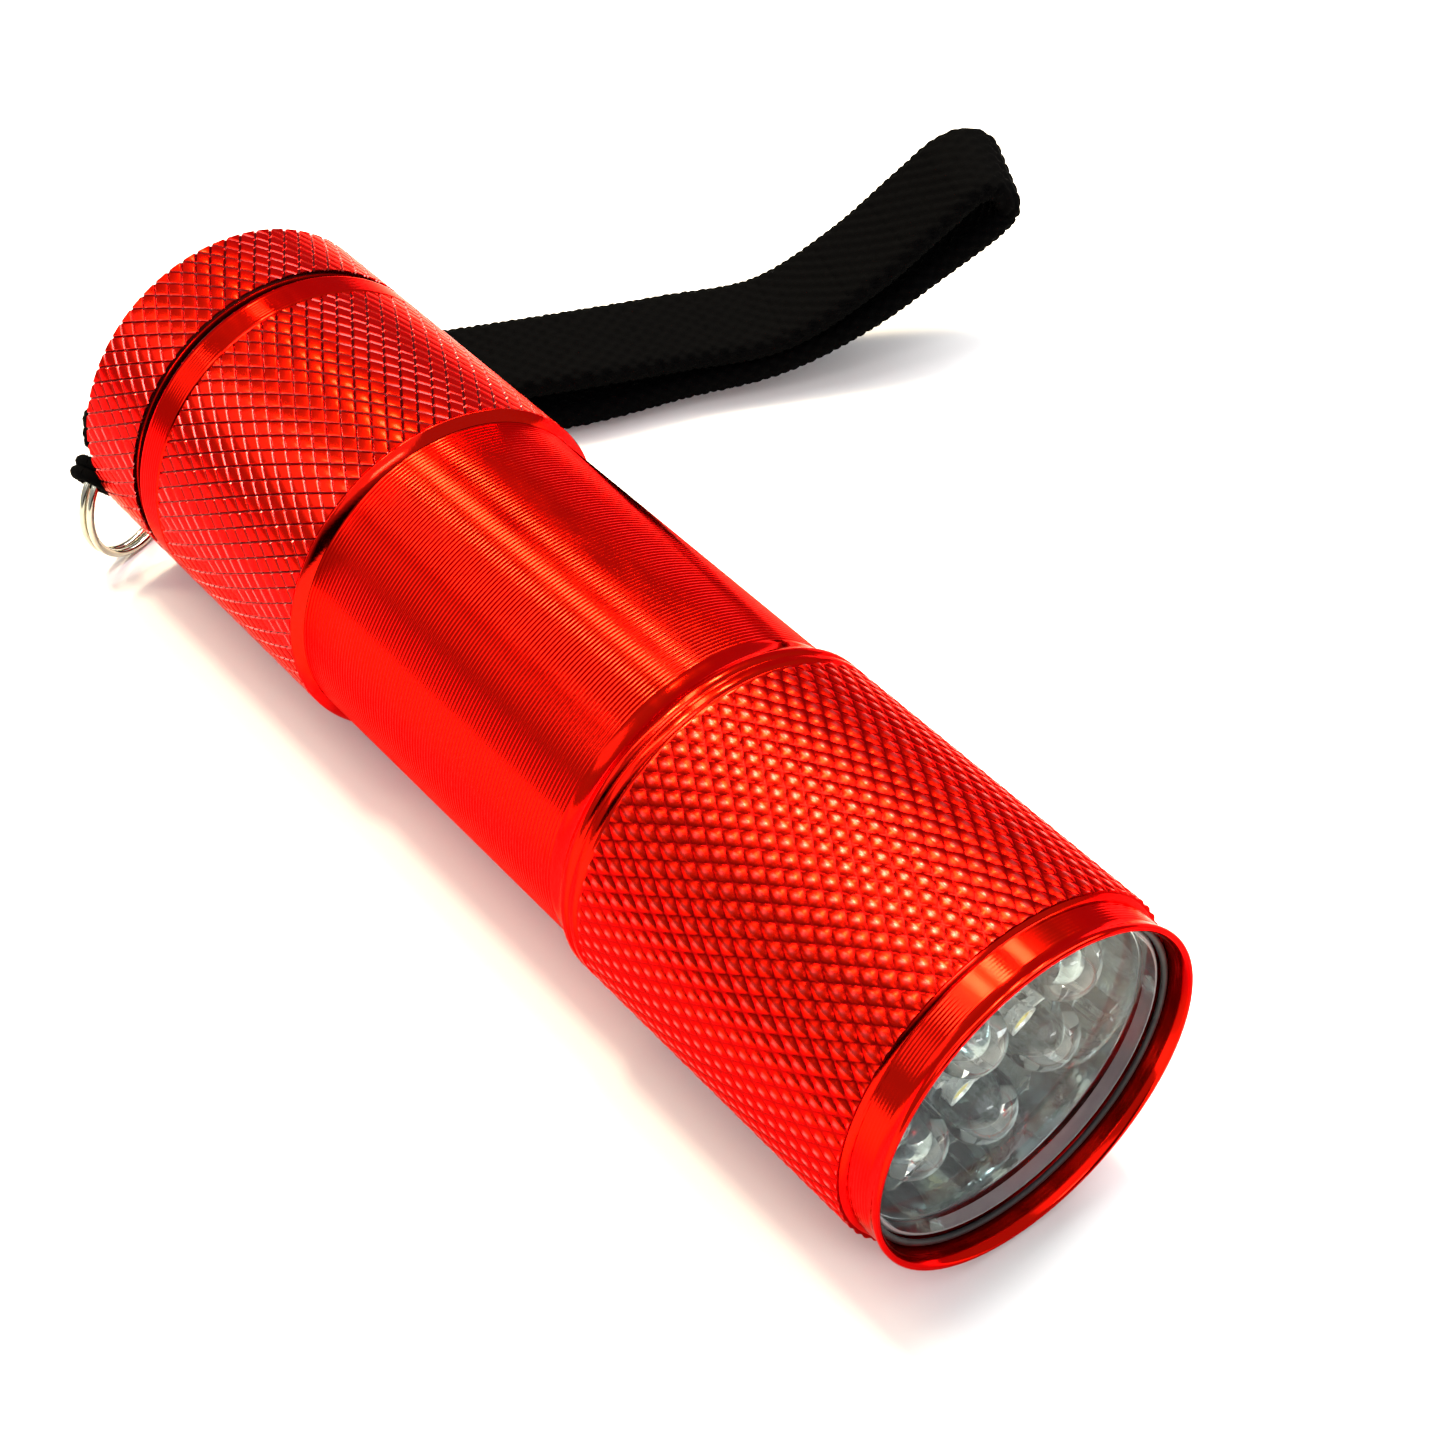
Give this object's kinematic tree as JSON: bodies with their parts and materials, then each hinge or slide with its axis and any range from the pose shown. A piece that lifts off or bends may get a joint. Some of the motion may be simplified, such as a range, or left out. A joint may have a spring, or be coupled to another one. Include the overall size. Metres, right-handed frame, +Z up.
{
  "type": "keychain flashlight",
  "caption": "Small aluminium torch with a knurled red barrel, LED head behind a flat lens, screw-on tail cap with push button, folded wrist strap and split ring.",
  "frame": {"origin": "on the table, below the middle of the torch without its strap and split ring", "axes": "+X along the torch towards the lens, +Z up, the torch lying on its side"},
  "size_m": [0.1016, 0.0801, 0.0261],
  "materials": {
    "anodised_aluminium": "bright red anodised, turned and knurled",
    "clear_lens": "clear polished",
    "led_resin": "water-clear resin",
    "black_rubber": "moulded",
    "chrome_reflector": "vacuum plated",
    "white_board": "solder mask",
    "white_plastic": "moulded",
    "black_plastic": "moulded",
    "plated_spring": "nickel-plated wire",
    "brass_contact": "stamped",
    "cell_jacket": "printed sleeve without lettering",
    "braided_cord": "flat braid",
    "split_ring_steel": "nickel plated"
  },
  "bodies": {
    "torch_body": {"barrel": "anodised_aluminium", "lens": "clear_lens", "lens_seal": "black_rubber", "reflector": "chrome_reflector", "led_1": "led_resin", "led_2": "led_resin", "led_3": "led_resin", "led_4": "led_resin", "led_5": "led_resin", "led_6": "led_resin", "led_7": "led_resin", "led_8": "led_resin", "led_9": "led_resin", "led_board": "white_board", "module_base": "black_plastic", "front_contact_spring": "plated_spring"},
    "battery_pack": {"battery_holder": "black_plastic", "holder_rear_contact": "brass_contact", "holder_front_contact": "brass_contact", "battery_1": "cell_jacket", "battery_2": "cell_jacket", "battery_3": "cell_jacket", "cell_spring_1": "plated_spring", "cell_spring_2": "plated_spring", "cell_spring_3": "plated_spring", "cell_contact_1": "brass_contact", "cell_contact_2": "brass_contact", "cell_contact_3": "brass_contact"},
    "tail_cap": {"tail_cap": "anodised_aluminium", "tail_seal_ring": "black_rubber", "switch_housing": "black_plastic", "switch_retaining_ring": "brass_contact", "tail_contact_spring": "plated_spring", "switch_spring": "plated_spring", "lanyard_loop": "braided_cord", "strap_knot": "braided_cord", "strap_neck": "braided_cord", "wrist_strap": "braided_cord"},
    "switch_button": {"switch_boot": "black_rubber", "switch_plunger": "white_plastic"},
    "split_ring": {"split_ring": "split_ring_steel", "ring_tie": "braided_cord"}
  },
  "joints": [
    {"name": "battery_slide", "type": "slide", "parent": "torch_body", "child": "battery_pack", "axis": [-1, 0, 0], "range_m": [0, 0.005], "deforming": ["front_contact_spring"]},
    {"name": "cap_turn", "type": "hinge", "parent": "battery_pack", "child": "tail_cap", "pos_m": [-0.0445, 0, 0.013], "axis": [-1, 0, 0], "range_deg": [0, 1800]},
    {"name": "button_press", "type": "slide", "parent": "tail_cap", "child": "switch_button", "axis": [1, 0, 0], "range_m": [0, 0.0015], "stiffness_N_per_m": 1500, "deforming": ["switch_spring"]},
    {"name": "ring_swing", "type": "hinge", "parent": "tail_cap", "child": "split_ring", "pos_m": [-0.0465, -0.01188, 0.00877], "axis": [0.9397, 0.342, 0], "range_deg": [-50, 30]}
  ],
  "couplings": [
    {"joint": "cap_turn", "follows": "battery_slide", "rad_per_m": 6283}
  ]
}
